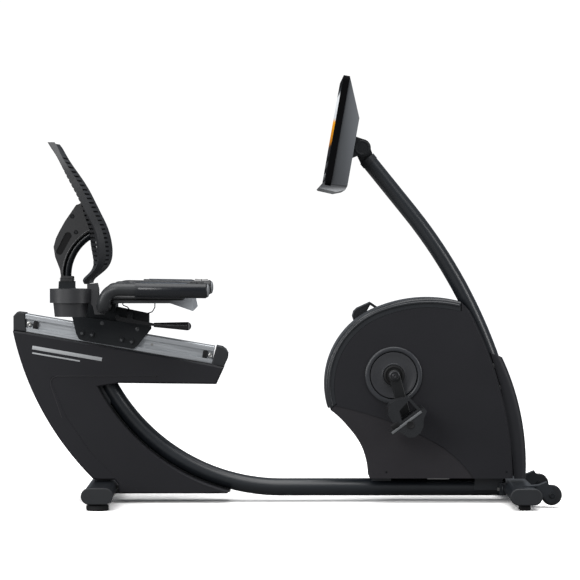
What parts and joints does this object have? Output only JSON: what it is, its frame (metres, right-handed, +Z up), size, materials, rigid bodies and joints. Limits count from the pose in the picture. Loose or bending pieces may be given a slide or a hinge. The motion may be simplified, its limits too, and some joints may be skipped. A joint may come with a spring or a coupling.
{
  "type": "recumbent exercise bike",
  "caption": "Recumbent exercise bike with a sliding bucket-backed seat, side handles, covered flywheel drive, pedals with straps and a tilting console on a curved mast.",
  "frame": {"origin": "on the floor, under the middle of the bike's box", "axes": "+X from the backrest towards the console, +Y to the rider's left, +Z up"},
  "size_m": [1.487, 0.56, 1.1611],
  "materials": {
    "frame_paint": "gloss black, faintly blue",
    "alu": "brushed, long grain",
    "shroud": "fine-textured charcoal",
    "panel": "fine-textured warm charcoal",
    "trim": "gloss charcoal",
    "disc": "gloss grey",
    "black_plastic": "matt black",
    "grey_plastic": "matt mid grey",
    "light_plastic": "matt light grey",
    "silver_plastic": "satin silver",
    "rubber": "matt black",
    "seat_cover": "black upholstery vinyl",
    "steel": "zinc-plated",
    "iron": "machined and painted",
    "screen": "glossy black panel",
    "wheel": "matt black"
  },
  "bodies": {
    "frame": {"main_tube": "frame_paint", "rear_frame": "frame_paint", "crank_post": "frame_paint", "flywheel_bracket": "steel", "mast_post": "frame_paint", "rear_stabiliser": "frame_paint", "front_stabiliser": "frame_paint", "stabiliser_caps": "black_plastic", "front_feet": "rubber", "frame_screws": "steel", "rail": "alu", "rail_ends": "black_plastic", "rear_shroud_right": "shroud", "rear_shroud_left": "shroud", "mast": "frame_paint", "mast_cover": "shroud", "mast_knuckle": "frame_paint", "drive_shield_right": "shroud", "drive_shield_left": "shroud", "lower_panels": "panel", "shield_trim": "trim", "bearings": "steel", "drive_belt": "rubber", "electrics": "black_plastic", "wheel_brackets": "frame_paint"},
    "crank": {"crank_axle": "steel", "crank_arm_right": "frame_paint", "crank_arm_left": "frame_paint", "crank_discs": "disc"},
    "right_pedal": {"pedal_right": "grey_plastic"},
    "left_pedal": {"pedal_left": "grey_plastic"},
    "flywheel": {"flywheel": "iron"},
    "magnet_arm": {"magnet_arm": "alu"},
    "seat": {"carriage": "frame_paint", "carriage_bolts": "steel", "seat_frame": "frame_paint", "seat_pan": "light_plastic", "seat_cushion": "seat_cover", "handlebar": "frame_paint", "grips": "rubber", "backrest": "black_plastic", "back_bracket": "grey_plastic", "back_post": "frame_paint", "bottle_holder": "grey_plastic", "pulse_leads": "rubber"},
    "front_rollers": {"rollers_front": "light_plastic"},
    "rear_rollers": {"rollers_rear": "light_plastic"},
    "lever": {"release_lever": "black_plastic"},
    "right_rocker": {"grip_button_right": "black_plastic"},
    "left_rocker": {"grip_button_left": "black_plastic"},
    "console": {"console_housing": "grey_plastic", "console_face": "screen", "console_chin": "silver_plastic", "console_knuckle": "black_plastic"},
    "start_button": {"button_start": "light_plastic"},
    "stop_button": {"button_stop": "light_plastic"},
    "menu_button": {"button_menu": "light_plastic"},
    "transport_wheels": {"transport_wheels": "wheel"},
    "right_foot": {"levelling_foot_right": "rubber"},
    "left_foot": {"levelling_foot_left": "rubber"}
  },
  "joints": [
    {"name": "crank_turn", "type": "hinge", "parent": "frame", "child": "crank", "pos_m": [0.2955, 0, 0.351], "axis": [0, 1, 0], "continuous": true},
    {"name": "right_pedal_turn", "type": "hinge", "parent": "crank", "child": "right_pedal", "pos_m": [0.33286, 0, 0.22648], "axis": [0, 1, 0], "continuous": true},
    {"name": "left_pedal_turn", "type": "hinge", "parent": "crank", "child": "left_pedal", "pos_m": [0.25814, 0, 0.47552], "axis": [0, 1, 0], "continuous": true},
    {"name": "flywheel_turn", "type": "hinge", "parent": "frame", "child": "flywheel", "pos_m": [0.42, 0, 0.195], "axis": [0, 1, 0], "continuous": true},
    {"name": "magnet_lift", "type": "hinge", "parent": "frame", "child": "magnet_arm", "pos_m": [0.538, 0, 0.24], "axis": [0, 1, 0], "range_deg": [0, 6]},
    {"name": "seat_slide", "type": "slide", "parent": "frame", "child": "seat", "axis": [0.9854, 0, -0.1702], "range_m": [-0.105, 0.175]},
    {"name": "front_rollers_turn", "type": "hinge", "parent": "seat", "child": "front_rollers", "pos_m": [-0.42, 0, 0.44252], "axis": [0, 1, 0], "range_deg": [-560, 920]},
    {"name": "rear_rollers_turn", "type": "hinge", "parent": "seat", "child": "rear_rollers", "pos_m": [-0.556, 0, 0.46601], "axis": [0, 1, 0], "range_deg": [-560, 920]},
    {"name": "lever_lift", "type": "hinge", "parent": "seat", "child": "lever", "pos_m": [-0.453, 0, 0.507], "axis": [0, -1, 0], "range_deg": [0, 9], "stiffness_Nm_per_rad": 2, "springref_deg": -17.19},
    {"name": "right_rocker_tilt", "type": "hinge", "parent": "seat", "child": "right_rocker", "pos_m": [-0.236, -0.25, 0.6066], "axis": [0, 1, 0], "range_deg": [-4, 4], "stiffness_Nm_per_rad": 0.05},
    {"name": "left_rocker_tilt", "type": "hinge", "parent": "seat", "child": "left_rocker", "pos_m": [-0.236, 0.25, 0.6066], "axis": [0, 1, 0], "range_deg": [-4, 4], "stiffness_Nm_per_rad": 0.05},
    {"name": "console_tilt", "type": "hinge", "parent": "frame", "child": "console", "pos_m": [0.2107, 0, 0.972], "axis": [0, 1, 0], "range_deg": [-10, 20]},
    {"name": "start_press", "type": "slide", "parent": "console", "child": "start_button", "axis": [0.9848, 0, -0.1736], "range_m": [0, 0.002], "stiffness_N_per_m": 200, "springref_m": -0.001},
    {"name": "stop_press", "type": "slide", "parent": "console", "child": "stop_button", "axis": [0.9848, 0, -0.1736], "range_m": [0, 0.002], "stiffness_N_per_m": 200, "springref_m": -0.001},
    {"name": "menu_press", "type": "slide", "parent": "console", "child": "menu_button", "axis": [0.9848, 0, -0.1736], "range_m": [0, 0.002], "stiffness_N_per_m": 200, "springref_m": -0.001},
    {"name": "transport_wheels_turn", "type": "hinge", "parent": "frame", "child": "transport_wheels", "pos_m": [0.716, 0, 0.0335], "axis": [0, 1, 0], "continuous": true},
    {"name": "right_foot_turn", "type": "hinge", "parent": "frame", "child": "right_foot", "pos_m": [-0.501, -0.245, 0.02], "axis": [0, 0, 1], "continuous": true},
    {"name": "left_foot_turn", "type": "hinge", "parent": "frame", "child": "left_foot", "pos_m": [-0.501, 0.245, 0.02], "axis": [0, 0, 1], "continuous": true}
  ],
  "couplings": [
    {"joint": "flywheel_turn", "follows": "crank_turn", "ratio": 4.1667},
    {"joint": "front_rollers_turn", "follows": "seat_slide", "rad_per_m": 89.286},
    {"joint": "rear_rollers_turn", "follows": "seat_slide", "rad_per_m": 89.286}
  ]
}
